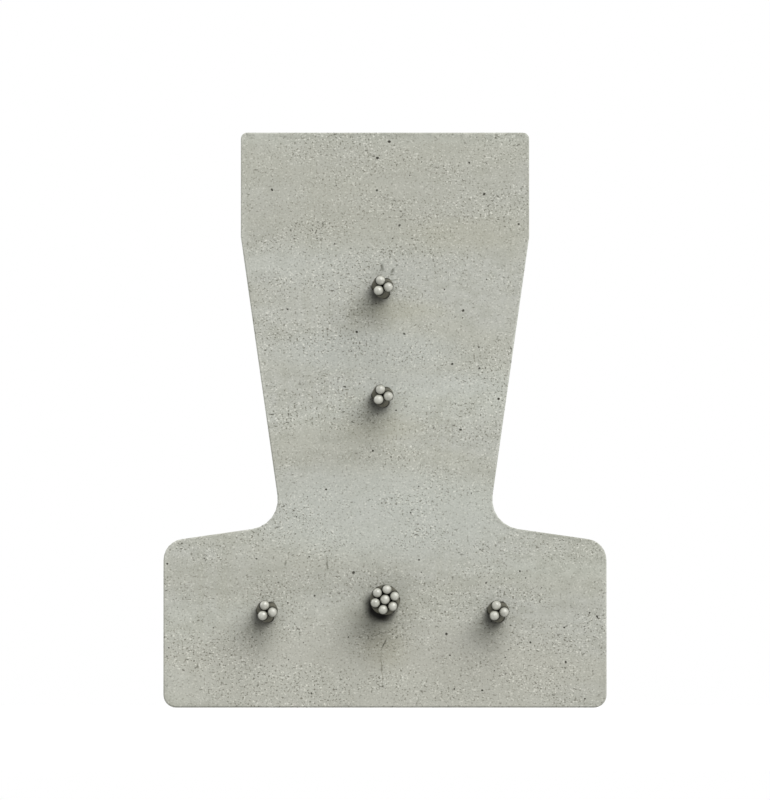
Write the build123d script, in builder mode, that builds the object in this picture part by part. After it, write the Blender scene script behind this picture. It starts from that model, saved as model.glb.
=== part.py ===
from build123d import *

import os
from dataclasses import dataclass
from math import sqrt

# Prestressed concrete floor joist: an inverted-T section cast round five twisted-wire strands.
# Millimetres. The joist lies along Y with its heel down. The origin is at the middle of its
# underside, +Z is up, and +X is to the right of someone who faces the front end, at -Y.

# Concrete section
JOIST_LENGTH = 1200.0  # between the two concrete end faces
JOIST_HEIGHT = 136.0
HEEL_WIDTH = 104.7
HEEL_SIDE = 39.2  # upright side of the heel, up to the outer edge of the block seat
SEAT_RISE = 4.0  # from the seat's outer edge up to where it would meet the web
NECK_WIDTH = 48.9  # web at its thinnest, where it would meet the seats
TOP_WIDTH = 68.2
TOP_SIDE = 24.7  # upright side of the top, above the tapered web
HEEL_CORNER_RADIUS = 3.0
SEAT_EDGE_RADIUS = 5.0
NECK_RADIUS = 7.0
TOP_CORNER_RADIUS = 1.5

# Where the strands run
TOP_STRAND_DEPTH = 36.8  # below the top
WEB_STRAND_DROP = 25.7  # below the top strand
MAIN_STRAND_HEIGHT = 25.4  # above the underside
SIDE_STRAND_HEIGHT = 22.7
SIDE_STRAND_COVER = 25.1  # from the heel's side to the strand's middle
SMALL_STRAND_DRIFT = -0.6  # the mould holds the four small strands this far off the middle

# How the strands are made
STRAND_STUB = 13.3  # length that stands out of each end face
SMALL_WIRE = 2.4  # diameter of each wire of the small strands
SMALL_SLACK = 0.02  # the cut wires have sprung this far outwards
SMALL_LAY = 75.0  # length of one full turn
SMALL_FACE_ANGLE = 169.0  # of the first wire in the end faces, counter-clockwise from +X
MAIN_KING_WIRE = 2.4
MAIN_OUTER_WIRE = 2.3
MAIN_SLACK = 0.06
MAIN_LAY = 105.0
MAIN_FACE_ANGLE = 121.4

PICK = 0.01  # how near its stated height a corner has to be, to be rounded
FRONT, BACK = -1, 1
STUB_STATIONS = (0, 0.5, 1)  # a stub's sections: at the concrete, half way and at its cut end


@dataclass
class Strand:
    """Wires laid round a line along the joist. The lay is left-handed, as the photo shows."""

    x: float
    z: float
    wires: int = 3
    wire: float = SMALL_WIRE
    reach: float = SMALL_WIRE / sqrt(3) + SMALL_SLACK  # from the strand's middle to each wire's
    lay: float = SMALL_LAY
    face_angle: float = SMALL_FACE_ANGLE


def laid_wire(strand, number):
    """One wire: straight inside the concrete, and laid round its strand in both stubs."""
    face_angle = strand.face_angle + 360 * number / strand.wires
    with BuildPart() as wire:
        for end in (FRONT, BACK):
            for station in STUB_STATIONS:
                out = station * STRAND_STUB
                angle = face_angle + end * 360 * out / strand.lay
                with BuildSketch(Plane.XZ.offset(-end * (JOIST_LENGTH / 2 + out))):
                    with Locations((strand.x, strand.z)):
                        with PolarLocations(strand.reach, 1, start_angle=angle, rotate=False):
                            Circle(strand.wire / 2)
            loft()
        with BuildSketch(Plane.XZ):
            with Locations((strand.x, strand.z)):
                with PolarLocations(strand.reach, 1, start_angle=face_angle, rotate=False):
                    Circle(strand.wire / 2)
        extrude(amount=JOIST_LENGTH / 2, both=True)
    return wire


def king_wire(strand, diameter):
    """The straight middle wire that a strand's outer wires are laid round."""
    with BuildPart() as wire:
        with BuildSketch(Plane.XZ):
            with Locations((strand.x, strand.z)):
                Circle(diameter / 2)
        extrude(amount=JOIST_LENGTH / 2 + STRAND_STUB, both=True)
    return wire


def write_node(piece, label):
    """Names a finished piece and writes it as its own file."""
    piece.part.label = label
    export_step(piece.part, f"parts/{label}.step")


top_strand_height = JOIST_HEIGHT - TOP_STRAND_DEPTH
side_strand_reach = HEEL_WIDTH / 2 - SIDE_STRAND_COVER
small_strands = {
    "top_strand": Strand(SMALL_STRAND_DRIFT, top_strand_height),
    "web_strand": Strand(SMALL_STRAND_DRIFT, top_strand_height - WEB_STRAND_DROP),
    "left_strand": Strand(SMALL_STRAND_DRIFT - side_strand_reach, SIDE_STRAND_HEIGHT),
    "right_strand": Strand(SMALL_STRAND_DRIFT + side_strand_reach, SIDE_STRAND_HEIGHT),
}
main_strand = Strand(
    x=0,
    z=MAIN_STRAND_HEIGHT,
    wires=6,
    wire=MAIN_OUTER_WIRE,
    reach=(MAIN_KING_WIRE + MAIN_OUTER_WIRE) / 2 + MAIN_SLACK,
    lay=MAIN_LAY,
    face_angle=MAIN_FACE_ANGLE,
)

# The concrete: half of the inverted T is drawn and mirrored, and its corners are rounded
with BuildPart() as concrete_joist:
    with BuildSketch(Plane.XZ) as section:
        with BuildLine() as outline:
            Polyline(
                (HEEL_WIDTH / 2, 0),
                (HEEL_WIDTH / 2, HEEL_SIDE),
                (NECK_WIDTH / 2, HEEL_SIDE + SEAT_RISE),
                (TOP_WIDTH / 2, JOIST_HEIGHT - TOP_SIDE),
                (TOP_WIDTH / 2, JOIST_HEIGHT),
            )
            mirror(about=Plane.YZ)
            Line((-HEEL_WIDTH / 2, 0), (HEEL_WIDTH / 2, 0))
            Line((-TOP_WIDTH / 2, JOIST_HEIGHT), (TOP_WIDTH / 2, JOIST_HEIGHT))
        make_face()
        for height, radius in (
            (0, HEEL_CORNER_RADIUS),
            (HEEL_SIDE, SEAT_EDGE_RADIUS),
            (HEEL_SIDE + SEAT_RISE, NECK_RADIUS),
            (JOIST_HEIGHT, TOP_CORNER_RADIUS),
        ):
            corners = section.vertices().filter_by_position(Axis.Y, height - PICK, height + PICK)
            fillet(corners, radius)
    extrude(amount=JOIST_LENGTH / 2, both=True)

    # The bed that each strand leaves: mortar grips every wire but stays out of the gaps between
    with BuildSketch(Plane.XZ):
        for strand in (*small_strands.values(), main_strand):
            with Locations((strand.x, strand.z)):
                Circle(strand.reach)
                with PolarLocations(strand.reach, strand.wires, start_angle=strand.face_angle):
                    Circle(strand.wire / 2)
    extrude(amount=JOIST_LENGTH / 2, both=True, mode=Mode.SUBTRACT)

os.makedirs("parts", exist_ok=True)
write_node(concrete_joist, "concrete_joist")
for name, strand in small_strands.items():
    for number in range(strand.wires):
        write_node(laid_wire(strand, number), f"{name}_wire_{number + 1}")
write_node(king_wire(main_strand, MAIN_KING_WIRE), "main_strand_king_wire")
for number in range(main_strand.wires):
    write_node(laid_wire(main_strand, number), f"main_strand_outer_wire_{number + 1}")
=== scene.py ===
"""Dresses the prestressed concrete joist: its cast concrete, its laid wire strands and a plain studio.

Lengths are millimetres in every class, and turn to metres where a mesh or a lamp is made. The joist
lies along Y with the end that the photograph shows at -Y, +Z up and +X to that viewer's right.
"""

import logging
import math
from collections.abc import Sequence
from dataclasses import dataclass, field
from enum import Enum

import bmesh
import bpy
import numpy as np
from bpy.types import Material, Mesh, Node, NodeSocket, NodeTree, Object
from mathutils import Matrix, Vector, noise
from mathutils.geometry import delaunay_2d_cdt

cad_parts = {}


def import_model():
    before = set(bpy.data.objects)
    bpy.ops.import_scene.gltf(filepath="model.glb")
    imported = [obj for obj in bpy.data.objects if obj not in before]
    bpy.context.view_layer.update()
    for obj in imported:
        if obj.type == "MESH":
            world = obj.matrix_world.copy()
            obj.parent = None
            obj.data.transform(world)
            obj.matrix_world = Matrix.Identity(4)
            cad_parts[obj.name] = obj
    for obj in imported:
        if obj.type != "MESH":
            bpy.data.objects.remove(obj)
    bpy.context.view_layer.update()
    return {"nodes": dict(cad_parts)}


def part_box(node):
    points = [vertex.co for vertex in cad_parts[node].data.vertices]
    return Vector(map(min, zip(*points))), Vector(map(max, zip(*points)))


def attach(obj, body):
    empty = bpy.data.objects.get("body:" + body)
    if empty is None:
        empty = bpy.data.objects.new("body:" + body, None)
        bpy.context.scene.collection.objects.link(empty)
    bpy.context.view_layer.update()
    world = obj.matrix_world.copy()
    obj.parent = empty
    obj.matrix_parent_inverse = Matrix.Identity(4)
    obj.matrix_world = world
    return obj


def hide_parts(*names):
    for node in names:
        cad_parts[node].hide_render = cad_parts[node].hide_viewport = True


log = logging.getLogger("joist")

MM = 0.001  # metres in a millimetre
FULL_TURN = 2 * math.pi
WHITE = (1, 1, 1, 1)

Point = tuple[float, float]
Place = tuple[float, float, float]
Feed = Node | NodeSocket | Material | float | str | Sequence[float]  # what a node's input may be given


class End(Enum):
    """The two ends of the joist, by the sign of Y."""

    FRONT = -1
    BACK = 1


class Area(Enum):
    """The areas of the concrete that differ in finish, by the name of the attribute that marks them."""

    ENDS = "end_faces"
    SIDES = "moulded_sides"
    SKIN = "long_skin"  # all that isn't an end face
    TOP = "struck_top"
    ARRISES = "long_arrises"


def linear(colour: str) -> tuple[float, float, float, float]:
    """Turns an sRGB hex colour into Blender's linear RGBA.

    Args:
        colour: six hex digits, such as "B1B1A6".

    Returns:
        Red, green and blue as linear light, and an alpha of 1.
    """
    shares = [int(colour[i : i + 2], 16) / 255 for i in (0, 2, 4)]
    # the sRGB curve is straight at its foot and a power above it
    red, green, blue = (s / 12.92 if s <= 0.04045 else ((s + 0.055) / 1.055) ** 2.4 for s in shares)
    return red, green, blue, 1.0


def add_node(
    tree: NodeTree, kind: str, inputs: dict[str, Feed] | tuple[Feed, ...] = (), **settings: object
) -> Node:
    """Adds a node with its settings and its inputs.

    Args:
        tree: the tree that the node joins.
        kind: the node's type, such as "ShaderNodeMath".
        inputs: a value, a socket or a node for each input, in a dict by the input's identifier or in a
            tuple in the inputs' order. A node stands for the first of its outputs that is in use.
        settings: the node's own options.

    Returns:
        The new node.
    """
    node = tree.nodes.new(kind)
    for name, value in settings.items():
        setattr(node, name, value)
    if isinstance(inputs, tuple):
        inputs = {socket.identifier: value for socket, value in zip(node.inputs, inputs)}
    for identifier, value in inputs.items():
        socket = next(s for s in node.inputs if s.identifier == identifier)
        if isinstance(value, Node):
            value = next(s for s in value.outputs if s.enabled)
        if isinstance(value, NodeSocket):
            tree.links.new(value, socket)
        else:
            socket.default_value = value
    return node


def new_material(name: str) -> tuple[Material, NodeTree]:
    """Makes an empty node material.

    Args:
        name: the material's name.

    Returns:
        The material and its node tree.
    """
    material = bpy.data.materials.new(name)
    material.use_nodes = True
    material.node_tree.nodes.clear()
    return material, material.node_tree


def layered(tree: NodeTree, base: str, coats: list[tuple[str, Feed, str]]) -> Node:
    """Lays coats of colour over a base, each over the one before.

    Args:
        tree: the material's tree.
        base: the hex colour below them all.
        coats: the hex colour of each coat, how much of it covers, and how it mixes.

    Returns:
        The colour on top.
    """
    colour = linear(base)
    for shade, share, blend in coats:
        mixed = {"Factor_Float": share, "A_Color": colour, "B_Color": linear(shade)}
        colour = add_node(tree, "ShaderNodeMix", mixed, data_type="RGBA", blend_type=blend)
    return colour


def start_geometry_tree(
    name: str, sizes: dict[str, tuple[str, ...]]
) -> tuple[NodeTree, dict[str, NodeSocket]]:
    """Starts a Geometry Nodes tree that takes a geometry and named sizes, and gives a geometry.

    Args:
        name: the tree's name.
        sizes: the names of its inputs after the geometry, by their kind, such as "Float".

    Returns:
        The tree, and a socket inside it for each named input.
    """
    tree = bpy.data.node_groups.new(name, "GeometryNodeTree")
    tree.interface.new_socket("Geometry", in_out="INPUT", socket_type="NodeSocketGeometry")
    for kind, labels in sizes.items():
        for label in labels:
            tree.interface.new_socket(label, in_out="INPUT", socket_type=f"NodeSocket{kind}")
    tree.interface.new_socket("Geometry", in_out="OUTPUT", socket_type="NodeSocketGeometry")
    given = add_node(tree, "NodeGroupInput")
    return tree, {socket.name: socket for socket in given.outputs}


def end_geometry_tree(tree: NodeTree, result: Feed, finish: Feed) -> NodeTree:
    """Ends a Geometry Nodes tree with plain geometry in its material, and no instances.

    Args:
        tree: the tree.
        result: the geometry that it has made.
        finish: the material.

    Returns:
        The tree.
    """
    whole = add_node(tree, "GeometryNodeRealizeInstances", {"Geometry": result})
    dressed = add_node(tree, "GeometryNodeSetMaterial", {"Geometry": whole, "Material": finish})
    add_node(tree, "NodeGroupOutput", (dressed,))
    return tree


def run_tree(piece: Object, tree: NodeTree, values: dict[str, object]) -> None:
    """Runs a Geometry Nodes tree on a piece and leaves the piece with the plain mesh that comes out.

    Args:
        piece: the object, already in the scene.
        tree: the tree to run.
        values: the value of each named input.
    """
    modifier = piece.modifiers.new(tree.name, "NODES")
    modifier.node_group = tree
    for item in tree.interface.items_tree:
        if item.in_out == "INPUT" and item.name in values:
            modifier[item.identifier] = values[item.name]
    graph = bpy.context.evaluated_depsgraph_get()
    done = piece.evaluated_get(graph)
    mesh = bpy.data.meshes.new_from_object(done, preserve_all_data_layers=True, depsgraph=graph)
    mesh.name = piece.name
    piece.modifiers.remove(modifier)
    piece.data = mesh


def new_piece(name: str, mesh: Mesh) -> Object:
    """Puts a mesh in the scene as an object at the origin.

    Args:
        name: the object's name.
        mesh: its mesh, in metres.

    Returns:
        The object.
    """
    piece = bpy.data.objects.new(name, mesh)
    bpy.context.scene.collection.objects.link(piece)
    return piece


# Finishes


@dataclass(frozen=True)
class Cloud:
    """A cloud of noise that tints or roughens a skin, with its features at their real size."""

    name: str
    size: Place  # millimetres to a feature along X, Y and Z
    none: float  # the noise at which the cloud starts
    full: float  # the noise at which it is at its strongest
    colour: str = "000000"
    strength: float = 1.0
    detail: float = 2.0
    shift: float = 0.0  # moves the pattern, so that two clouds of one size differ
    area: Area | None = None  # the only part of the concrete that has it, if any

    def texture(self, tree: NodeTree) -> Node:
        """Adds the bare noise.

        Args:
            tree: the material's tree.

        Returns:
            The noise, labelled with the cloud's name.
        """
        place = add_node(tree, "ShaderNodeTexCoord").outputs["Object"]
        scale = [1 / size / MM for size in self.size]
        fitted = {"Vector": place, "Scale": scale, "Location": [self.shift] * 3}
        scaled = add_node(tree, "ShaderNodeMapping", fitted)
        settings = {"Vector": scaled, "Scale": 1.0, "Detail": self.detail}
        return add_node(tree, "ShaderNodeTexNoise", settings, label=self.name)

    def share(self, tree: NodeTree) -> Node:
        """Adds how much of the cloud shows.

        Args:
            tree: the material's tree.

        Returns:
            The share, from 0 to the strength.
        """
        value = self.texture(tree)
        span = {"Value": value, "From Min": self.none, "From Max": self.full, "To Max": self.strength}
        share = add_node(tree, "ShaderNodeMapRange", span, interpolation_type="SMOOTHSTEP")
        if not self.area:
            return share
        there = add_node(tree, "ShaderNodeAttribute", attribute_name=self.area.value).outputs["Fac"]
        return add_node(tree, "ShaderNodeMath", (share, there), operation="MULTIPLY")


@dataclass(frozen=True)
class SoftOval:
    """A soft oval of colour on the end faces, or the front one alone: a stain, a tone or a painted shadow."""

    x: float
    z: float
    width: float  # from its middle to where it has gone
    height: float
    colour: str
    strength: float
    heart: float = 0.0  # the share of its width that is at full strength
    lean: float = 0.0  # degrees that its top leans towards +X
    front_only: bool = False

    def share(self, tree: NodeTree, place: Node) -> Node:
        """Adds how much of the stain shows.

        Args:
            tree: the material's tree.
            place: the place on the concrete, with a little wander in it.

        Returns:
            The share, from 0 to the strength.
        """
        oval = {
            "Vector": place,
            "Location": (self.x * MM, 0, self.z * MM),
            "Rotation": (0, math.radians(self.lean), 0),
            "Scale": (self.width * MM, 0, self.height * MM),
        }
        centred = add_node(tree, "ShaderNodeMapping", oval, vector_type="TEXTURE")
        reach = add_node(tree, "ShaderNodeVectorMath", (centred,), operation="LENGTH").outputs["Value"]
        fade = {"Value": reach, "From Min": 1.0, "From Max": self.heart, "To Max": self.strength}
        share = add_node(tree, "ShaderNodeMapRange", fade, interpolation_type="SMOOTHSTEP")
        if not self.front_only:
            return share
        y = add_node(tree, "ShaderNodeSeparateXYZ", (place,)).outputs["Y"]
        front = add_node(tree, "ShaderNodeMath", (y, 0.0), operation="LESS_THAN")
        return add_node(tree, "ShaderNodeMath", (share, front), operation="MULTIPLY")


@dataclass(frozen=True)
class ConcreteFinish:
    """Cast grey concrete: fine sand and cement, mottled where the paste dried at different rates.

    The eye sees a dull, pale, slightly green grey with crowds of tiny dark pits and pale grains, quiet
    smooth patches of cement paste between them, and no shine. Painted shade, with some dirt, darkens
    the pits, and each strand has a run of stain and painted shade below it and a crescent of painted
    shadow in its lee. The long sides add clouds of cement, damp, lines of the mould and runs of rain,
    and the struck top gravel.
    """

    base: str = "AFB0A8"
    dust: str = "53524A"  # painted shade, with some dirt, inside the air pits: darker than their shape alone makes them
    roughness: float = 0.9
    specular: float = 0.3
    sand: Cloud = Cloud(
        "where the sand shows", (15.0, 15.0, 6.5), 0.34, 0.66, strength=0.62, detail=4.0, shift=3.7
    )
    paste: float = 0.48  # how much of the sand still shows in the smooth patches of cement
    relief: Cloud = Cloud("sand relief", (0.50, 0.50, 0.44), 0.0, 1.0, detail=1.0)
    relief_depth: float = 0.08
    top_relief: Cloud = Cloud(
        "gravel relief", (4.0, 4.0, 3.0), 0.30, 0.70, strength=2.5, detail=2.5, area=Area.TOP
    )
    broad: tuple[Cloud, ...] = (
        Cloud("warm patches", (40.0, 40.0, 13.0), 0.40, 0.60, "ADADA0", 0.5, 3.0),
        Cloud("dark bands", (90.0, 90.0, 9.0), 0.48, 0.68, "A4A49A", 0.5, 2.0, 2.2),
        Cloud("pour bands", (120.0, 120.0, 13.0), 0.45, 0.70, "B5B8AE", 0.6, 1.0, 0.4),
        Cloud("streaks run down", (2.6, 2.6, 45.0), 0.45, 0.80, "A0A092", 0.3, 2.0, 1.3),
        Cloud("mottle", (3.6, 3.6, 1.9), 0.42, 0.66, "9C9D92", 0.42, 2.0, 4.9),
        Cloud("cement clouds", (34.0, 150.0, 24.0), 0.46, 0.66, "BFC0B7", 0.55, 3.0, 5.7, Area.SKIN),
        Cloud("damp patches", (50.0, 95.0, 28.0), 0.50, 0.70, "8E8F84", 0.50, 4.0, 8.3, Area.SKIN),
        Cloud("lines of the mould", (2.4, 280.0, 1.5), 0.48, 0.78, "93948A", 0.40, 2.0, 3.1, Area.SKIN),
        Cloud("runs of rain", (60.0, 7.0, 130.0), 0.52, 0.74, "97978A", 0.45, 3.0, 1.9, Area.SKIN),
    )
    grains: tuple[Cloud, ...] = (
        Cloud("pale sand", (0.49, 0.49, 0.41), 0.55, 0.74, "E0E0D6", 0.56, 1.0, 9.1),
        Cloud("dark sand", (0.51, 0.51, 0.41), 0.46, 0.26, "6A695D", 0.84, 1.0, 5.2),
        Cloud("small pits", (0.9, 0.9, 0.65), 0.35, 0.25, "56554B", 0.85, 2.0, 2.9),
        Cloud("pale gravel", (3.4, 3.4, 3.0), 0.54, 0.70, "C6C5B9", 0.50, 2.5, 4.4, Area.TOP),
        Cloud("dark gravel", (2.8, 2.8, 3.0), 0.46, 0.30, "85867C", 0.50, 2.5, 7.4, Area.TOP),
    )
    wander: Cloud = Cloud("wander of the stains", (2.2, 2.2, 2.2), 0.0, 1.0, detail=2.0, shift=6.1)
    wander_reach: float = 1.2

    def material(self, tones: list[SoftOval], stains: list[SoftOval]) -> Material:
        """Builds the material.

        Args:
            tones: broad patches of tone, under the sand.
            stains: the marks on the end faces, from the palest to the darkest, over it; the
            painted shade and shadow round each strand is among them.

        Returns:
            The material.
        """
        material, tree = new_material("cast_concrete")
        place = self.wandering_place(tree)
        sandy = add_node(tree, "ShaderNodeMath", (self.sand.share(tree), self.paste), operation="ADD")
        coats = [(cloud.colour, cloud.share(tree), "MIX") for cloud in self.broad]
        coats += [(tone.colour, tone.share(tree, place), "MIX") for tone in tones]
        for grain in self.grains:
            share = add_node(tree, "ShaderNodeMath", (grain.share(tree), sandy), operation="MULTIPLY")
            coats.append((grain.colour, share, "MIX"))
        # the marks of stain, and the painted shade and shadow round each strand, darken what lies under them
        coats += [(stain.colour, stain.share(tree, place), "MULTIPLY") for stain in stains]
        # painted shade, with some dirt, darkens every face of an air pit by its own share
        inside_pit = add_node(tree, "ShaderNodeAttribute", attribute_name="air_pit").outputs["Fac"]
        coats.append((self.dust, inside_pit, "MIX"))
        fine = add_node(tree, "ShaderNodeMath", (self.relief.texture(tree), sandy), operation="MULTIPLY")
        height = add_node(tree, "ShaderNodeMath", (fine, self.top_relief.share(tree)), operation="ADD")
        bump = add_node(tree, "ShaderNodeBump", {"Height": height, "Distance": self.relief_depth * MM})
        look = {
            "Base Color": layered(tree, self.base, coats),
            "Roughness": self.roughness,
            "Specular IOR Level": self.specular,
            "Normal": bump,
        }
        skin = add_node(tree, "ShaderNodeBsdfPrincipled", look)
        add_node(tree, "ShaderNodeOutputMaterial", {"Surface": skin})
        return material

    def wandering_place(self, tree: NodeTree) -> Node:
        """Adds the place on the concrete with a small wander, so that no stain and no painted shadow has a
        clean outline.

        Args:
            tree: the material's tree.

        Returns:
            The place.
        """
        place = add_node(tree, "ShaderNodeTexCoord").outputs["Object"]
        wander = self.wander.texture(tree).outputs["Color"]
        about_zero = add_node(tree, "ShaderNodeVectorMath", (wander, [0.5] * 3), operation="SUBTRACT")
        reach = [self.wander_reach * MM] * 3
        return add_node(tree, "ShaderNodeVectorMath", (about_zero, reach, place), operation="MULTIPLY_ADD")


@dataclass(frozen=True)
class StrandStainAndShadow:
    """A run of stain and painted shade below a strand, and a crescent of painted shadow in its lee."""

    run_reach: float  # how far the run spreads, in radii of the strand
    run: float  # the run's strength
    crescent: float  # the crescent's strength
    heart: float  # the share of the crescent that is at full strength
    # the run: partly a stain that runs down, partly painted shade below the strand
    run_colour: str = "8A8976"
    # the crescent: painted shadow, nearly black, in the strand's lee
    crescent_colour: str = "12110B"
    drift: float = 0.3  # how far towards -X both lie, in radii of the strand
    run_drop: float = 1.5  # how far below the strand's middle it lies, in radii of the strand
    crescent_drop: float = 0.45
    crescent_width: float = 1.2  # how far it shows past the strand
    crescent_height: float = 1.3

    def stains(self, strand: "LaidStrand") -> list[SoftOval]:
        """Places the run of stain and painted shade, and the crescent of painted shadow, round a strand.

        Args:
            strand: the strand.

        Returns:
            The run and the crescent.
        """
        size = strand.reach + strand.wire / 2
        x = strand.x - self.drift * size
        spread = self.run_reach * size
        width, height = size + self.crescent_width, size + self.crescent_height
        run_z, crescent_z = (strand.z - drop * size for drop in (self.run_drop, self.crescent_drop))
        return [
            SoftOval(x, run_z, spread, spread, self.run_colour, self.run),
            SoftOval(x, crescent_z, width, height, self.crescent_colour, self.crescent, self.heart),
        ]


# the painted shadow and the run of stain and painted shade round the thin strands and the thick one
THIN_STRAND_STAIN_AND_SHADOW = StrandStainAndShadow(run_reach=3.0, run=0.25, crescent=0.8, heart=0.15)
THICK_STRAND_STAIN_AND_SHADOW = StrandStainAndShadow(run_reach=4.0, run=0.32, crescent=1.0, heart=0.45)
END_TONES = [
    SoftOval(0.0, 124.0, 48.0, 22.0, "A6A69B", 0.60, 0.3),
    SoftOval(19.0, 112.0, 20.0, 6.0, "A7A698", 0.60, 0.2),
    SoftOval(-10.0, 104.0, 34.0, 6.5, "B3B5AF", 0.45, 0.3),
    SoftOval(-4.0, 84.0, 30.0, 7.0, "B1B4AE", 0.60, 0.4),
    SoftOval(3.0, 94.0, 16.0, 4.0, "A9A898", 0.50, 0.2),
    SoftOval(10.0, 76.5, 30.0, 4.5, "B6B9B3", 0.50, 0.3),
    SoftOval(0.0, 66.0, 16.0, 5.0, "ABAA9B", 0.50, 0.2),
    SoftOval(0.0, 46.0, 40.0, 14.0, "B3B6AF", 0.60, 0.5),
    SoftOval(0.0, 8.0, 70.0, 19.0, "AFAEA4", 0.60, 0.5),
    SoftOval(0.0, 14.0, 8.0, 7.0, "ABA999", 0.45, 0.2),
]
# spots of painted shade, with some dirt, for large air pits on the front face, where the mesh has no hole
LARGE_FRONT_PIT_SHADES = ((4.5, 88.4), (-9.5, 75.9), (3.3, 114.2), (22.5, 80.3), (17.7, 65.7), (-1.7, 122.3))
END_MARKS = [
    SoftOval(*mark, front_only=True)
    for mark in (
        (-0.7, 104.1, 0.6, 1.3, "92948C", 0.75, 0.2),
        (1.8, 103.3, 0.5, 1.0, "92938B", 0.7, 0.2, 45.0),
        (2.9, 104.4, 0.35, 0.6, "92938B", 0.7, 0.2, 45.0),
        (2.4, 101.25, 2.3, 0.2, "98988C", 0.5, 0.3, -4.0),
        (-23.4, 34.0, 0.5, 0.9, "9FA199", 0.7, 0.2),
        (-13.7, 33.6, 0.45, 1.5, "8F9188", 0.75, 0.2),
        (-0.15, 15.4, 0.22, 1.7, "5D5A4E", 0.8, 0.3, 25.0),
        (-0.75, 8.6, 0.19, 6.6, "9A988C", 0.5, 0.3, -1.0),
        # the dark spots of painted pit shade
        *((x, z, 0.42, 0.34, "4A4940", 0.9, 0.4) for x, z in LARGE_FRONT_PIT_SHADES),
    )
]


@dataclass(frozen=True)
class WireFinish:
    """Drawn high-tensile steel wire, dulled by cement and by months in the yard.

    The sides are dark, dull and faintly lined along the wire, with painted shade that makes them darkest
    where they enter the concrete and dark again just below each tip; the cut tips are rounded, pale and
    smooth, so that each one catches a soft highlight, and painted shade darkens each tip towards its rim.
    """

    # painted shade where the wire goes into the concrete
    root: str = "1C1B14"
    # where each colour starts to show and where it covers, from 0 in the concrete over 1 at the tip's
    # rim to 2 at its pole: the side over painted shade at the root, painted shade again just below the tip,
    # the rim darkened by painted shade, the dome's edge and its top
    shades: tuple[tuple[float, float, str], ...] = (
        (0.0, 0.30, "636156"),
        (0.80, 1.00, "1C1B14"),
        (1.13, 1.23, "8C8C81"),
        (1.20, 1.55, "B3B3A8"),
        (1.50, 2.0, "B6B6AC"),
    )
    smear: str = "8A897C"
    roughness: float = 0.75
    specular: float = 0.15  # low, because the film of cement and rust is dull even at a glance
    tip_roughness: float = 0.32
    tip_specular: float = 1.0
    tip_start: float = 1.05  # the way out at which the sheen of the tip starts
    tip_full: float = 1.3
    smears: Cloud = Cloud("cement smears", (1.6, 1.6, 1.6), 0.40, 0.70, strength=0.35, detail=2.0)
    # drawn coarser than real drawing lines, which are too fine to show
    drawing: Cloud = Cloud("drawing lines", (0.3, 6.0, 0.3), 0.0, 1.0, detail=2.0)
    drawing_depth: float = 0.05

    def material(self) -> Material:
        """Builds the material.

        Returns:
            The material.
        """
        material, tree = new_material("drawn_steel_wire")
        along = add_node(tree, "ShaderNodeAttribute", attribute_name="way_out").outputs["Fac"]
        coats = []
        for start, end, shade in self.shades:
            span = {"Value": along, "From Min": start, "From Max": end}
            coats.append((shade, add_node(tree, "ShaderNodeMapRange", span), "MIX"))
        coats.append((self.smear, self.smears.share(tree), "MULTIPLY"))
        lines = {"Height": self.drawing.texture(tree), "Distance": self.drawing_depth * MM}
        bump = add_node(tree, "ShaderNodeBump", lines)
        look = {"Base Color": layered(tree, self.root, coats), "Normal": bump}
        on_tip = {"Value": along, "From Min": self.tip_start, "From Max": self.tip_full}
        for name, side, tip in (
            ("Roughness", self.roughness, self.tip_roughness),
            ("Specular IOR Level", self.specular, self.tip_specular),
        ):
            look[name] = add_node(tree, "ShaderNodeMapRange", {**on_tip, "To Min": side, "To Max": tip})
        skin = add_node(tree, "ShaderNodeBsdfPrincipled", look)
        add_node(tree, "ShaderNodeOutputMaterial", {"Surface": skin})
        return material


# The laid strands


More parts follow.
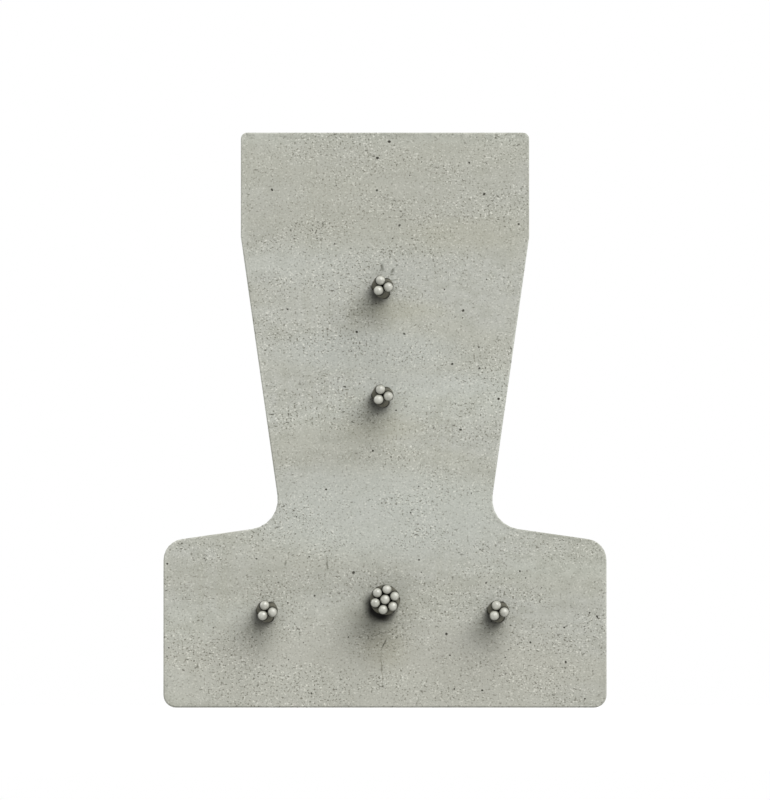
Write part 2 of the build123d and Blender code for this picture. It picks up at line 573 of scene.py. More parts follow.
@dataclass
class LaidStrand:
    """Round wires laid left-handed about a line along the joist, with rounded cut tips."""

    name: str
    x: float
    z: float
    wires: int = 3
    wire: float = 2.4
    reach: float = 2.4 / math.sqrt(3) + 0.02  # from the strand's middle to each wire's
    lay: float = 75.0
    face_angle: float = 169.0
    king_wire: float = 0.0  # diameter of the straight middle wire, if there is one
    stub: float = 13.27  # a hair short of the full 13.3, because the last ring leans with the lay
    dome: float = 1.05
    stub_steps: int = 8
    dome_steps: int = 6
    pole_gap: float = 0.35  # steps by which the last ring stays short of the pole
    sides: int = 24

    def nodes(self) -> list[str]:
        """Names the CAD nodes of this strand's wires.

        Returns:
            The names, the king wire's first.
        """
        if self.king_wire:
            return [f"{self.name}_king_wire"] + [f"{self.name}_outer_wire_{i + 1}" for i in range(self.wires)]
        return [f"{self.name}_wire_{i + 1}" for i in range(self.wires)]

    def stations(self, half_length: float) -> list[Place]:
        """Lists the sections of a wire from its back tip to its front tip.

        Args:
            half_length: from the joist's middle to an end face.

        Returns:
            Y, the share of the wire's radius, and the way out: 0 in the concrete, 1 at the rim of
            the tip and 2 at its pole.
        """
        sphere = ((self.wire / 2) ** 2 + self.dome**2) / (2 * self.dome)
        straight = self.stub - self.dome
        out = [(straight * i / self.stub_steps, 1.0, i / self.stub_steps) for i in range(self.stub_steps)]
        for i in range(self.dome_steps + 1):
            rise = self.dome * math.sin(math.pi / 2 * i / (self.dome_steps + self.pole_gap))
            width = math.sqrt(sphere**2 - (sphere - self.dome + rise) ** 2)
            out.append((straight + rise, min(width / (self.wire / 2), 1.0), 1.0 + i / self.dome_steps))
        back = [(half_length + d, share, tip) for d, share, tip in reversed(out)]
        front = [(-half_length - d, share, tip) for d, share, tip in out]
        return back + front

    def build(self, half_length: float, tree: NodeTree, finish: Material) -> Object:
        """Makes the strand as one mesh of closed wires.

        Args:
            half_length: from the joist's middle to an end face.
            tree: the laid strand tree.
            finish: the wires' material.

        Returns:
            The strand.
        """
        stations = self.stations(half_length)
        parts = []
        for wires, wire, reach in ((self.wires, self.wire, self.reach), (1, self.king_wire, 0.0)):
            if not wire:
                continue
            path = bpy.data.meshes.new(self.name)
            links = [(i, i + 1) for i in range(len(stations) - 1)]
            path.from_pydata([(0, y * MM, 0) for y, _, _ in stations], links, [])
            for label, column in (("share", 1), ("way_out", 2)):
                layer = path.attributes.new(label, "FLOAT", "POINT")
                layer.data.foreach_set("value", [station[column] for station in stations])
            part = new_piece(self.name, path)
            values = {
                "Wires": wires,
                "Wire radius": wire / 2 * MM,
                "Reach": reach * MM,
                "Lay": self.lay * MM,
                "Face angle": math.radians(self.face_angle),
                "Half length": half_length * MM,
                "Centre": (self.x * MM, 0, self.z * MM),
                "Sides": self.sides,
                "Finish": finish,
            }
            run_tree(part, tree, values)
            parts.append(part)
        strand = parts[0]
        if len(parts) > 1:
            chosen = {"active_object": strand, "object": strand}
            with bpy.context.temp_override(**chosen, selected_editable_objects=parts, selected_objects=parts):
                bpy.ops.object.join()
        return strand


def laid_strand_tree() -> NodeTree:
    """Builds the tree that lays round wires about a line.

    Its geometry is a line of points along Y with a share of the wire's radius at each. Between the
    end faces the wires run straight; past each face they turn about the line.

    Returns:
        The tree.
    """
    sizes = {
        "Float": ("Wire radius", "Reach", "Lay", "Face angle", "Half length"),
        "Int": ("Wires", "Sides"),
        "Vector": ("Centre",),
        "Material": ("Finish",),
    }
    tree, size = start_geometry_tree("laid strand", sizes)
    line = add_node(tree, "GeometryNodeMeshToCurve", {"Mesh": size["Geometry"]})
    repeated = {"Geometry": line, "Amount": size["Wires"]}
    copies = add_node(tree, "GeometryNodeDuplicateElements", repeated, domain="SPLINE")
    place = add_node(tree, "GeometryNodeInputPosition")
    y = add_node(tree, "ShaderNodeSeparateXYZ", {"Vector": place}).outputs["Y"]
    distance = add_node(tree, "ShaderNodeMath", (y,), operation="ABSOLUTE")
    beyond = add_node(tree, "ShaderNodeMath", (distance, size["Half length"]), operation="SUBTRACT")
    past_face = add_node(tree, "ShaderNodeMath", (beyond, 0.0), operation="MAXIMUM")
    side = add_node(tree, "ShaderNodeMath", (y,), operation="SIGN")
    signed = add_node(tree, "ShaderNodeMath", (past_face, side), operation="MULTIPLY")
    lays = add_node(tree, "ShaderNodeMath", (signed, size["Lay"]), operation="DIVIDE")
    turn = add_node(tree, "ShaderNodeMath", (lays, FULL_TURN), operation="MULTIPLY")
    number = copies.outputs["Duplicate Index"]
    share = add_node(tree, "ShaderNodeMath", (number, size["Wires"]), operation="DIVIDE")
    around = (share, FULL_TURN, size["Face angle"])
    start = add_node(tree, "ShaderNodeMath", around, operation="MULTIPLY_ADD")
    angle = add_node(tree, "ShaderNodeMath", (turn, start), operation="ADD")
    ring = {}
    for axis, wave in (("X", "COSINE"), ("Z", "SINE")):
        swing = add_node(tree, "ShaderNodeMath", (angle,), operation=wave)
        ring[axis] = add_node(tree, "ShaderNodeMath", (swing, size["Reach"]), operation="MULTIPLY")
    on_ring = add_node(tree, "ShaderNodeCombineXYZ", ring)
    offset = add_node(tree, "ShaderNodeVectorMath", (on_ring, size["Centre"]), operation="ADD")
    moved = {"Geometry": copies.outputs["Geometry"], "Offset": offset}
    laid = add_node(tree, "GeometryNodeSetPosition", moved)
    circle = {"Resolution": size["Sides"], "Radius": size["Wire radius"]}
    profile = add_node(tree, "GeometryNodeCurvePrimitiveCircle", circle, mode="RADIUS")
    width = add_node(tree, "GeometryNodeInputNamedAttribute", {"Name": "share"}, data_type="FLOAT")
    sweep = {"Curve": laid, "Profile Curve": profile, "Scale": width, "Fill Caps": True}
    swept = add_node(tree, "GeometryNodeCurveToMesh", sweep)
    smooth = add_node(tree, "GeometryNodeSetShadeSmooth", {"Geometry": swept, "Shade Smooth": True})
    return end_geometry_tree(tree, smooth, size["Finish"])


# The concrete


@dataclass(frozen=True)
class Section:
    """Outline of the joist's end: an inverted T with a tapered web."""

    heel_width: float
    height: float
    heel_side: float = 39.2
    seat_rise: float = 4.0
    neck_width: float = 48.9
    top_width: float = 68.2
    top_side: float = 24.7
    heel_corner_radius: float = 3.0
    seat_edge_radius: float = 5.0
    neck_radius: float = 7.0
    top_corner_radius: float = 1.5

    def corners(self) -> list[Place]:
        """Lists the corners, counter-clockwise as the viewer sees the end.

        Returns:
            X, Z and the rounding of each.
        """
        half = [
            (self.heel_width / 2, 0.0, self.heel_corner_radius),
            (self.heel_width / 2, self.heel_side, self.seat_edge_radius),
            (self.neck_width / 2, self.heel_side + self.seat_rise, self.neck_radius),
            (self.top_width / 2, self.height - self.top_side, 0.0),
            (self.top_width / 2, self.height, self.top_corner_radius),
        ]
        return half + [(-x, z, radius) for x, z, radius in reversed(half)]

    def outline(self, step: float, top_step: float, arc_step: float) -> list[Point]:
        """Draws the closed outline as points.

        Args:
            step: longest stretch between points on a straight side.
            top_step: the same along the top, which is rougher.
            arc_step: degrees between points on a rounded corner.

        Returns:
            Points, counter-clockwise as the viewer sees the end.
        """
        corners = self.corners()
        rounded = []
        for i, (x, z, radius) in enumerate(corners):
            corner = Vector((x, z))
            back = (Vector(corners[i - 1][:2]) - corner).normalized()
            ahead = (Vector(corners[(i + 1) % len(corners)][:2]) - corner).normalized()
            half_angle = back.angle(ahead) / 2
            if not radius:
                rounded.append([corner])
                continue
            centre = corner + (back + ahead).normalized() * radius / math.sin(half_angle)
            first = corner + back * radius / math.tan(half_angle) - centre
            last = corner + ahead * radius / math.tan(half_angle) - centre
            steps = math.ceil(math.degrees(first.angle(last)) / arc_step)
            arc = [first.slerp(last, k / steps).normalized() * radius + centre for k in range(steps + 1)]
            rounded.append(arc)
        points = []
        for i, arc in enumerate(rounded):
            points += arc
            start, end = arc[-1], rounded[(i + 1) % len(rounded)][0]
            on_top = min(start.y, end.y) > self.height - self.top_corner_radius
            count = math.ceil((end - start).length / (top_step if on_top else step))
            points += [start.lerp(end, k / count) for k in range(1, count)]
        return [(p.x, p.y) for p in points]


@dataclass
class ConcreteBody:
    """The cast joist: one closed mesh with its strand beds, worn arrises, rough top and air pits."""

    section: Section
    length: float
    strands: list[LaidStrand]
    side_step: float = 5.0
    top_step: float = 2.6
    arc_step: float = 15.0
    length_step: float = 5.0
    face_step: float = 1.05
    rim_gap: float = 0.45  # how near the rim a point inside the end face may lie, in steps
    bed_gap: float = 0.35  # how near the mouth of a bed
    arris: float = 0.3
    mouth: float = 0.06  # how far the concrete has broken back from each wire
    mouth_change: float = 0.9  # how much that differs from place to place
    mouth_chip: float = 1.3  # size of the breaks
    mouth_depth: float = 0.7
    mouth_slice: float = 7.0  # where in the noise the breaks are read
    bed_clearance: float = 0.03
    bed_arc_step: float = 20.0
    bed_arc_least: int = 6
    face_relief: float = 0.12
    face_broad: float = 9.0  # size of the broad and of the fine waves of the end faces
    face_fine: float = 2.4
    face_octaves: tuple[float, float, int] = (0.7, 2.0, 2)  # how they fade, their ratio, how many
    face_slice: float = 50.0  # where in the noise an end face is read, so that the two differ
    side_relief: float = 0.18
    side_wave: float = 70.0
    top_relief: float = 0.9
    top_lump: float = 11.0
    top_octaves: tuple[float, float, int] = (0.6, 2.0, 4)
    end_fade: float = 12.0  # the relief of the sides and top fades over this much before each end
    top_hair: float = 0.01  # a point this near the full height lies on the top
    pit_margin: float = 1.0  # the pits of the sides stay this far from the underside and the top
    end_rings: int = 3  # and stay off this many rings at each end
    top_knock: float = 1.6  # how far in from its corner an arris gets knocked
    heel_knock: float = 2.5
    seat_knock: float = 1.8
    sharp_angle: float = 40.0
    weld: float = 0.005  # points of the finished mesh that lie closer than this become one
    points: list[Place] = field(default_factory=list)
    faces: list[tuple[int, ...]] = field(default_factory=list)
    marked: dict[Area, list[int]] = field(default_factory=lambda: {area: [] for area in Area})

    def build(self, finish: Material, pits: list["AirPits"]) -> Object:
        """Makes the joist.

        Args:
            finish: the concrete's material.
            pits: the kinds of air pits that it has.

        Returns:
            The joist.
        """
        rings = self.side_rings(self.section.outline(self.side_step, self.top_step, self.arc_step))
        for lower, upper in zip(rings, rings[1:]):
            self.join_rings(lower, upper)
        tunnels = [self.tunnel(strand) for strand in self.strands]
        for end, side in ((End.FRONT, 0), (End.BACK, -1)):
            self.cap(end, rings[side], [tunnel[side] for tunnel in tunnels])
        mesh = bpy.data.meshes.new("concrete_joist_cast")
        mesh.from_pydata(self.points, [], self.faces)
        mesh.validate()
        mesh.materials.append(finish)
        for area, numbers in self.marked.items():
            share = np.zeros(len(mesh.vertices))
            share[numbers] = 1.0
            mesh.attributes.new(area.value, "FLOAT", "POINT").data.foreach_set("value", share)
        joist = new_piece("concrete_joist_cast", mesh)
        tree = air_pit_tree()
        for kind in pits:
            kind.sink(joist, tree, finish)
        self.weld_points(joist.data)
        joist.data.set_sharp_from_angle(angle=math.radians(self.sharp_angle))
        joist.data.shade_smooth()
        return joist

    def weld_points(self, mesh: Mesh) -> None:
        """Turns a closed mesh into triangles and welds its crowded points, so that none is a sliver.

        Args:
            mesh: the mesh, changed in place.
        """
        skin = bmesh.new()
        skin.from_mesh(mesh)
        bmesh.ops.triangulate(skin, faces=skin.faces[:])
        bmesh.ops.remove_doubles(skin, verts=skin.verts[:], dist=self.weld * MM)
        skin.to_mesh(mesh)
        skin.free()

    def add_ring(self, places: list[Place]) -> list[int]:
        """Adds points to the mesh.

        Args:
            places: the points, in millimetres.

        Returns:
            Their numbers.
        """
        first = len(self.points)
        self.points += [(x * MM, y * MM, z * MM) for x, y, z in places]
        return list(range(first, len(self.points)))

    def join_rings(self, lower: list[int], upper: list[int]) -> None:
        """Joins two rings of one size with four-sided faces that look outwards.

        Args:
            lower: the numbers of the ring nearer the front.
            upper: those of the other ring.
        """
        for i, a in enumerate(lower):
            j = (i + 1) % len(lower)
            self.faces.append((a, upper[i], upper[j], lower[j]))

    def inward(self, outline: list[Point]) -> list[Vector]:
        """Finds the direction into the concrete at each point of the outline.

        Args:
            outline: the points, counter-clockwise.

        Returns:
            A unit vector for each point.
        """
        ways = []
        for i in range(len(outline)):
            before, after = Vector(outline[i - 1]), Vector(outline[(i + 1) % len(outline)])
            along = (after - before).normalized()
            ways.append(Vector((-along.y, along.x)))
        return ways

    def wear(self, x: float, y: float, z: float) -> float:
        """Measures how far the surface lies inside the mould's at a point of the sides or top.

        Args:
            x: the point across the joist.
            y: the point along it.
            z: the point's height.

        Returns:
            The depth.
        """
        fade = min((self.length / 2 - abs(y)) / self.end_fade, 1.0)
        place = Vector((x, y, z))
        waves = 0.5 + 0.5 * noise.noise(place / self.side_wave)
        depth = self.side_relief * max(waves, 0.0)
        if z > self.section.height - self.top_hair:
            rough = 0.5 + 0.5 * noise.fractal(place / self.top_lump, *self.top_octaves)
            depth += self.top_relief * min(max(rough, 0.0), 1.0)
        return depth * fade

    def side_ring(self, outline: list[Point], ways: list[Vector], y: float, inset: float) -> list[int]:
        """Adds one ring of the sides.

        Args:
            outline: the joist's outline.
            ways: the direction into the concrete at each of its points.
            y: where the ring lies along the joist.
            inset: how far it lies inside the outline, before wear.

        Returns:
            The numbers of its points.
        """
        places = []
        for (x, z), way in zip(outline, ways):
            depth = inset + self.wear(x, y, z)
            places.append((x + way.x * depth, y, z + way.y * depth))
        return self.add_ring(places)

    def side_rings(self, outline: list[Point]) -> list[list[int]]:
        """Adds the rings along the joist and marks the areas that they cross.

        Args:
            outline: the joist's outline.

        Returns:
            The rings, from the front face to the back.
        """
        ways = self.inward(outline)
        half = self.length / 2
        steps = round(self.length / self.length_step)
        stations = [-half + self.length * i / steps for i in range(steps + 1)]
        stations[0] += self.arris
        stations[-1] -= self.arris
        rings = [self.side_ring(outline, ways, -half, self.arris)]
        rings += [self.side_ring(outline, ways, y, 0.0) for y in stations]
        rings.append(self.side_ring(outline, ways, half, self.arris))
        height = self.section.height
        for number, ring in enumerate(rings):
            on_ring = list(zip(ring, outline))
            self.marked[Area.SKIN] += ring
            self.marked[Area.TOP] += [i for i, (_, z) in on_ring if z > height - self.top_hair]
            if self.end_rings <= number < len(rings) - self.end_rings:
                low, high = self.pit_margin, height - self.pit_margin
                self.marked[Area.SIDES] += [i for i, (_, z) in on_ring if low < z < high]
                self.marked[Area.ARRISES] += [i for i, (x, z) in on_ring if self.on_arris(x, z)]
        return rings

    def on_arris(self, x: float, z: float) -> bool:
        """Tells whether a point of the outline lies on a corner that gets knocked.

        Args:
            x: the point across the joist.
            z: the point's height.

        Returns:
            True on such a corner.
        """
        section = self.section
        half_heel, half_top = section.heel_width / 2, section.top_width / 2
        high = z > section.height - section.top_corner_radius and abs(x) > half_top - self.top_knock
        low = z < self.heel_knock and abs(x) > half_heel - self.heel_knock
        seat = abs(x) > half_heel - self.seat_knock and abs(z - section.heel_side) < self.heel_knock
        return high or low or seat

    def bed_outline(self, strand: LaidStrand, clearance: float) -> list[Point]:
        """Draws the outline of a strand's bed: the arcs of its outer wires.

        Args:
            strand: the strand.
            clearance: between the wires and the concrete.

        Returns:
            Points, counter-clockwise as the viewer sees the end.
        """
        radius = strand.wire / 2 + clearance
        reach = strand.reach
        # each arc runs in to the circle through the wires' middles
        turn = 2 * math.asin(radius / (2 * reach))
        spread = math.atan2(math.sin(turn), math.cos(turn) - 1)
        arc_points = max(self.bed_arc_least, round(spread * 2 / math.radians(self.bed_arc_step)))
        points = []
        for wire in range(strand.wires):
            angle = math.radians(strand.face_angle) + FULL_TURN * wire / strand.wires
            centre = Vector((math.cos(angle), math.sin(angle))) * reach + Vector((strand.x, strand.z))
            for i in range(arc_points + 1):
                way = angle - spread + 2 * spread * i / arc_points
                points.append((centre.x + radius * math.cos(way), centre.y + radius * math.sin(way)))
        return points

    def tunnel(self, strand: LaidStrand) -> list[list[int]]:
        """Adds the bed of one strand, from its broken mouth in the front face to the one at the back.

        Args:
            strand: the strand.

        Returns:
            The bed's rings.
        """
        half = self.length / 2
        tight = self.bed_outline(strand, self.bed_clearance)
        centre = Vector((strand.x, strand.z))
        wide = []
        for x, z in tight:
            out = (Vector((x, z)) - centre).normalized()
            change = noise.noise(Vector((x, z, self.mouth_slice)) / self.mouth_chip)
            broken = self.mouth * (1.0 + self.mouth_change * change)
            wide.append((x + out.x * broken, z + out.y * broken))
        inner = half - self.mouth_depth
        stations = ((-half, wide), (-inner, tight), (inner, tight), (half, wide))
        rings = [self.add_ring([(x, y, z) for x, z in loop]) for y, loop in stations]
        for lower, upper in zip(rings, rings[1:]):
            self.join_rings(upper, lower)
        return rings

    def cap(self, end: End, rim: list[int], holes: list[list[int]]) -> None:
        """Closes one end with even triangles between its rim and the mouths of the beds.

        Args:
            end: which end.
            rim: the ring round the face.
            holes: the rings of the beds' mouths.
        """
        fixed = rim + [i for hole in holes for i in hole]
        flat = [Vector((self.points[i][0] / MM, self.points[i][2] / MM)) for i in fixed]
        loops = []
        start = 0
        for ring in (rim, *holes):
            loops.append(list(range(start, start + len(ring))))
            start += len(ring)
        edges = [(loop[i - 1], loop[i]) for loop in loops for i in range(len(loop))]
        inner = self.grid_points(flat, loops)
        within, near = 1, 1e-6  # only triangles within the rim, and how near two points are one
        verts, _, triangles, origins, _, _ = delaunay_2d_cdt(flat + inner, edges, [loops[0]], within, near)
        y = end.value * self.length / 2
        number = {}
        for i, source in enumerate(origins):
            known = [s for s in source if s < len(fixed)]
            if known:
                number[i] = fixed[known[0]]
            else:
                depth = self.face_relief * self.face_wear(verts[i], end)
                number[i] = self.add_ring([(verts[i].x, y - end.value * depth, verts[i].y)])[0]
                self.marked[Area.ENDS].append(number[i])
        middles = np.array([v[:] for v in verts])[np.array(triangles)].mean(axis=1)
        solid = np.ones(len(triangles), bool)
        for loop in loops[1:]:
            solid &= ~inside(middles, np.array([flat[i][:] for i in loop]))
        for triangle, kept in zip(triangles, solid):
            if kept:
                face = [number[i] for i in triangle]
                self.faces.append(tuple(face if end is End.FRONT else reversed(face)))

    def face_wear(self, place: Vector, end: End) -> float:
        """Measures how deep the end face's skin lies at a point.

        Args:
            place: the point's X and Z.
            end: which end.

        Returns:
            The depth, from 0 to 1.
        """
        spot = Vector((place.x, end.value * self.face_slice, place.y))
        broad = 0.5 + 0.5 * noise.noise(spot / self.face_broad)
        fine = 0.5 + 0.5 * noise.fractal(spot / self.face_fine, *self.face_octaves)
        return min(max(0.5 * broad + 0.5 * fine, 0.0), 1.0)

    def grid_points(self, flat: list[Vector], loops: list[list[int]]) -> list[Vector]:
        """Spreads evenly staggered points over the face, clear of its rim and of the beds.

        Args:
            flat: the places of the fixed points.
            loops: the rim and then each bed, as numbers into flat.

        Returns:
            The points.
        """
        polygons = [np.array([flat[i][:] for i in loop]) for loop in loops]
        step, row = self.face_step, self.face_step * math.sqrt(3) / 2
        rim = polygons[0]
        low, high = rim.min(axis=0), rim.max(axis=0)
        points = []
        for j, z in enumerate(np.arange(low[1] + row / 2, high[1], row)):
            start = 0.25 + 0.5 * (j % 2)  # in steps, so that every second row is half a step off
            xs = np.arange(low[0] + step * start, high[0], step)
            points.append(np.column_stack([xs, np.full(len(xs), z)]))
        points = np.vstack(points)
        keep = inside(points, rim) & (distance_to(points, rim) > self.rim_gap * step)
        for hole in polygons[1:]:
            keep &= ~inside(points, hole) & (distance_to(points, hole) > self.bed_gap * step)
        return [Vector(p) for p in points[keep]]


def inside(points: np.ndarray, polygon: np.ndarray) -> np.ndarray:
    """Tells which of the points lie inside a polygon, by counting crossings.

    Args:
        points: a row of X and Z for each point.
        polygon: the same for each corner, in order.

    Returns:
        True for each point inside.
    """
    x, z = points[:, :1], points[:, 1:]
    ax, az = polygon[:, 0], polygon[:, 1]
    bx, bz = np.roll(ax, -1), np.roll(az, -1)
    spans = (az > z) != (bz > z)
    with np.errstate(divide="ignore", invalid="ignore"):
        cross = ax + (z - az) * (bx - ax) / (bz - az)
    return (np.sum(spans & (x < cross), axis=1) % 2).astype(bool)


def distance_to(points: np.ndarray, polygon: np.ndarray) -> np.ndarray:
    """Measures how far each point lies from the nearest side of a polygon.

    Args:
        points: a row of X and Z for each point.
        polygon: the same for each corner, in order.

    Returns:
        The distances.
    """
    tiny = 1e-12  # keeps a side of no length from dividing by nothing
    nearest = np.full(len(points), np.inf)
    for start, end in zip(polygon, np.roll(polygon, -1, axis=0)):
        side = end - start
        t = np.clip((points - start) @ side / max(side @ side, tiny), 0, 1)
        nearest = np.minimum(nearest, np.linalg.norm(points - start - t[:, None] * side, axis=1))
    return nearest


@dataclass(frozen=True)
class AirPits:
    """One kind of air pit, scattered in crowds over an area."""

    area: Area
    smallest: float  # radius
    largest: float
    flatness: float  # depth as a share of the radius
    spacing: float
    density: float  # pits to a square millimetre, in the thick of a crowd
    crowd: float = 18.0
    crowd_floor: float = 0.35
    dust: float = 1.0  # how dark its painted shade, with some dirt, makes it inside
    roundness: int = 2
    seed: int = 1

    def sink(self, joist: Object, tree: NodeTree, finish: Material) -> None:
        """Sinks the pits into the joist.

        Args:
            joist: the joist, as a closed mesh.
            tree: the air pit tree.
            finish: the concrete's material.
        """
        values = {
            "Smallest": self.smallest * MM,
            "Largest": self.largest * MM,
            "Flatness": self.flatness,
            "Spacing": self.spacing * MM,
            "Density": self.density / MM**2,
            "Crowd size": self.crowd * MM,
            "Crowd floor": self.crowd_floor,
            "Area": self.area.value,
            "Dust": self.dust,
            "Roundness": self.roundness,
            "Seed": self.seed,
            "Finish": finish,
        }
        run_tree(joist, tree, values)


def air_pit_tree() -> NodeTree:
    """Builds the tree that sinks air pits into a closed body.

    Returns:
        The tree.
    """
    crowd_thick = 0.7  # the noise in the thick of a crowd
    rarity = 3.0  # the higher, the fewer large pits
    narrowest, widest = 0.75, 1.25  # a pit's width as a share of its size
    sizes = {
        "Float": (
            "Smallest", "Largest", "Flatness", "Spacing", "Density", "Crowd size", "Crowd floor", "Dust"
        ),
        "Int": ("Roundness", "Seed"),
        "String": ("Area",),
        "Material": ("Finish",),
    }
    tree, size = start_geometry_tree("air pits", sizes)
    place = add_node(tree, "GeometryNodeInputPosition")
    unit = add_node(tree, "ShaderNodeMath", (1.0, size["Crowd size"]), operation="DIVIDE")
    spread = add_node(tree, "ShaderNodeVectorMath", {"Vector": place, "Scale": unit}, operation="SCALE")
    cloud = add_node(tree, "ShaderNodeTexNoise", {"Vector": spread, "Scale": 1.0, "Detail": 2.0})
    span = {"Value": cloud, "From Min": size["Crowd floor"], "From Max": crowd_thick}
    crowd = add_node(tree, "ShaderNodeMapRange", span)
    area = add_node(tree, "GeometryNodeInputNamedAttribute", {"Name": size["Area"]}, data_type="FLOAT")
    factor = add_node(tree, "ShaderNodeMath", (crowd, area), operation="MULTIPLY")
    scatter = {
        "Mesh": size["Geometry"],
        "Distance Min": size["Spacing"],
        "Density Max": size["Density"],
        "Density Factor": factor,
        "Seed": size["Seed"],
    }
    scattered = add_node(tree, "GeometryNodeDistributePointsOnFaces", scatter, distribute_method="POISSON")
    ball = add_node(tree, "GeometryNodeMeshIcoSphere", {"Radius": 1.0, "Subdivisions": size["Roundness"]})
    # each face of a pit carries the share of painted shade, with some dirt, that darkens it
    mark = {"Geometry": ball, "Name": "air_pit", "Value": size["Dust"]}
    marked = add_node(tree, "GeometryNodeStoreNamedAttribute", mark, data_type="FLOAT", domain="FACE")
    draw = {"Min_001": 0.0, "Max_001": 1.0, "Seed": size["Seed"]}
    chance = add_node(tree, "FunctionNodeRandomValue", draw, data_type="FLOAT")
    few_large = add_node(tree, "ShaderNodeMath", (chance, rarity), operation="POWER")
    radii = {"Value": few_large, "To Min": size["Smallest"], "To Max": size["Largest"]}
    radius = add_node(tree, "ShaderNodeMapRange", radii)
    widths = {"Min": (narrowest, narrowest, 1.0), "Max": (widest, widest, 1.0), "Seed": size["Seed"]}
    stretch = add_node(tree, "FunctionNodeRandomValue", widths, data_type="FLOAT_VECTOR")
    flat = add_node(tree, "ShaderNodeCombineXYZ", {"X": 1.0, "Y": 1.0, "Z": size["Flatness"]})
    shape = add_node(tree, "ShaderNodeVectorMath", (stretch, flat), operation="MULTIPLY")
    sized = add_node(tree, "ShaderNodeVectorMath", {"Vector": shape, "Scale": radius}, operation="SCALE")
    spin = {"Min_001": 0.0, "Max_001": FULL_TURN, "Seed": size["Seed"]}
    spun = add_node(tree, "FunctionNodeRandomValue", spin, data_type="FLOAT")
    about = add_node(tree, "FunctionNodeAxisAngleToRotation", {"Axis": (0, 0, 1), "Angle": spun})
    turns = {"Rotation": scattered.outputs["Rotation"], "Rotate By": about}
    turned = add_node(tree, "FunctionNodeRotateRotation", turns, rotation_space="LOCAL")
    laid = {"Points": scattered.outputs["Points"], "Instance": marked, "Rotation": turned, "Scale": sized}
    pits = add_node(tree, "GeometryNodeInstanceOnPoints", laid)
    cut = {"Mesh 1": size["Geometry"], "Mesh 2": pits}
    sunk = add_node(tree, "GeometryNodeMeshBoolean", cut, operation="DIFFERENCE", solver="MANIFOLD")
    return end_geometry_tree(tree, sunk, size["Finish"])


AIR_PITS = [
    AirPits(Area.ENDS, 0.14, 0.38, 0.7, 1.5, 0.030, seed=3),
    AirPits(Area.SIDES, 0.5, 1.9, 0.7, 5.0, 0.0026, crowd=60.0, dust=0.45, seed=5),
    AirPits(Area.ARRISES, 1.6, 7.0, 0.5, 12.0, 0.008, crowd=70.0, dust=0.1, roundness=1, seed=8),
]


# The studio


@dataclass(frozen=True)
class Lamp:
    """A soft lamp, far off."""

    name: str
    toward: Place  # from the joist to the lamp
    level: float  # the light on a surface that faces it, where 1 shows a colour as written
    spread: float  # degrees that the lamp spans

    def build(self) -> None:
        """Adds the lamp to the scene."""
        light = bpy.data.lights.new(self.name, "SUN")
        light.energy = self.level * math.pi
        light.angle = math.radians(self.spread)
        lamp = bpy.data.objects.new(self.name, light)
        lamp.rotation_euler = Vector(self.toward).to_track_quat("Z", "Y").to_euler()
        bpy.context.scene.collection.objects.link(lamp)


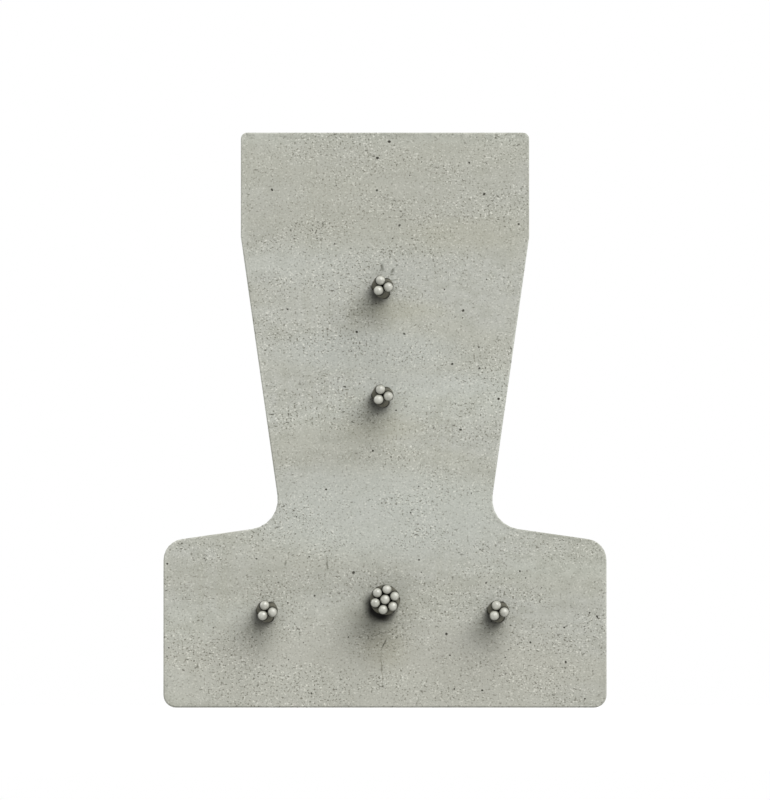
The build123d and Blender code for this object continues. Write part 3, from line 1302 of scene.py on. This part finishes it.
@dataclass
class Studio:
    """The plain pale floor, the lamps, the fill of the room and the camera."""

    front: float  # Y of the face that the camera looks at, in millimetres
    joist_height: float
    base_row: float = 707.6  # pixels down the 770 x 800 frame
    top_row: float = 132.5
    frame_height: int = 800
    distance: float = 2500.0
    eye_height: float = 0.3  # so low that the floor is seen edge on, as in the photograph
    sensor: float = 36.0
    nearest: float = 50.0  # the camera sees from here
    farthest: float = 400_000.0  # to here
    fill: float = 0.28
    floor_reach: float = 60_000.0
    floor_shade: float = 0.55
    floor_glow: float = 0.45  # lifts the lit floor to white, for the eye alone
    lamps: tuple[Lamp, ...] = (
        Lamp("key_lamp", (0.45, -0.80, 0.75), 0.94, 50.0),
        Lamp("left_lamp", (-0.90, 0.15, 0.60), 0.34, 50.0),
        Lamp("right_lamp", (0.95, 0.35, 0.25), 0.26, 50.0),
        Lamp("rear_lamp", (-0.50, 0.90, 0.25), 0.64, 40.0),
    )

    def build(self) -> None:
        """Sets up the camera, the lamps, the floor and the room."""
        self.camera()
        for lamp in self.lamps:
            lamp.build()
        self.room()
        self.floor()
        bpy.context.scene.view_settings.view_transform = "Standard"

    def camera(self) -> None:
        """Adds the camera, square to the joist's end, so that its base and top fall on their rows."""
        below = math.atan(-self.eye_height / self.distance)
        above = math.atan((self.joist_height - self.eye_height) / self.distance)
        rows_below = self.base_row - self.frame_height / 2
        tilt = below + (above - below) * rows_below / (self.base_row - self.top_row)
        data = bpy.data.cameras.new("camera")
        data.sensor_width = self.sensor
        data.lens = self.sensor * rows_below / self.frame_height / math.tan(tilt - below)
        data.clip_start = self.nearest * MM
        data.clip_end = self.farthest * MM
        camera = bpy.data.objects.new("camera", data)
        camera.location = Vector((0, self.front - self.distance, self.eye_height)) * MM
        camera.rotation_euler = (math.pi / 2 + tilt, 0, 0)
        bpy.context.scene.collection.objects.link(camera)
        bpy.context.scene.camera = camera

    def seen_straight(self, tree: NodeTree) -> Node:
        """Adds what tells the eye's rays from the light on the joist.

        Args:
            tree: the material's or the world's tree.

        Returns:
            1 for what the camera sees, straight, in a reflection or through glass, and 0 for the rest.
        """
        rays = add_node(tree, "ShaderNodeLightPath").outputs
        glossy = (rays["Is Camera Ray"], rays["Is Glossy Ray"])
        seen = add_node(tree, "ShaderNodeMath", glossy, operation="MAXIMUM")
        return add_node(tree, "ShaderNodeMath", (seen, rays["Is Transmission Ray"]), operation="MAXIMUM")

    def room(self) -> None:
        """Fills the room with even light and shows it white."""
        world = bpy.data.worlds.new("white_room")
        world.use_nodes = True
        tree = world.node_tree
        tree.nodes.clear()
        fill = add_node(tree, "ShaderNodeBackground", {"Color": WHITE, "Strength": self.fill})
        white = add_node(tree, "ShaderNodeBackground", {"Color": WHITE, "Strength": 1.0})
        mix = add_node(tree, "ShaderNodeMixShader", (self.seen_straight(tree), fill, white))
        add_node(tree, "ShaderNodeOutputWorld", {"Surface": mix})
        bpy.context.scene.world = world

    def floor(self) -> None:
        """Lays the floor: white to the eye, and still darker where the joist shades it."""
        material, tree = new_material("pale_floor")
        matt = add_node(tree, "ShaderNodeBsdfDiffuse", {"Color": (*[self.floor_shade] * 3, 1)})
        glow = add_node(tree, "ShaderNodeEmission", {"Color": WHITE, "Strength": self.floor_glow})
        lifted = add_node(tree, "ShaderNodeAddShader", (matt, glow))
        mix = add_node(tree, "ShaderNodeMixShader", (self.seen_straight(tree), matt, lifted))
        add_node(tree, "ShaderNodeOutputMaterial", {"Surface": mix})
        mesh = bpy.data.meshes.new("floor")
        reach = self.floor_reach * MM
        corners = [(x * reach, y * reach, 0) for x, y in ((-1, -1), (1, -1), (1, 1), (-1, 1))]
        mesh.from_pydata(corners, [], [(0, 1, 2, 3)])
        mesh.materials.append(material)
        new_piece("floor", mesh)


def main() -> None:
    """Builds the joist's pieces in order and reports each one."""
    logging.basicConfig(level=logging.INFO, format="%(name)s: %(message)s")
    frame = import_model()
    log.info("frame: %d CAD nodes", len(frame["nodes"]))
    low, high = (Vector(corner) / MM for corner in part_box("concrete_joist"))

    thick = {"wires": 6, "wire": 2.3, "reach": 2.41, "lay": 105.0, "face_angle": 121.4, "king_wire": 2.4}
    strands = [
        LaidStrand("top_strand", -0.6, 99.2),
        LaidStrand("web_strand", -0.6, 73.5),
        LaidStrand("left_strand", -27.85, 22.7),
        LaidStrand("right_strand", 26.65, 22.7),
        LaidStrand("main_strand", 0.0, 25.4, **thick),
    ]
    wire_finish = WireFinish().material()
    tree = laid_strand_tree()
    strand_stains_and_shadows = []
    for strand in strands:
        piece = strand.build(high.y, tree, wire_finish)
        piece.name = f"{strand.name}_laid"
        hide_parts(*strand.nodes())
        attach(piece, "root")
        log.info("%s: %d faces", piece.name, len(piece.data.polygons))
        # each strand's run of stain and painted shade below it, and its crescent of painted shadow
        strand_stains_and_shadows += (THICK_STRAND_STAIN_AND_SHADOW if strand.king_wire else THIN_STRAND_STAIN_AND_SHADOW).stains(strand)

    concrete_finish = ConcreteFinish().material(END_TONES, END_MARKS + strand_stains_and_shadows)
    section = Section(heel_width=high.x - low.x, height=high.z - low.z)
    joist = ConcreteBody(section, high.y - low.y, strands).build(concrete_finish, AIR_PITS)
    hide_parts("concrete_joist")
    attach(joist, "root")
    log.info("%s: %d faces", joist.name, len(joist.data.polygons))

    Studio(front=low.y, joist_height=high.z - low.z).build()


if __name__ == "__main__":
    main()
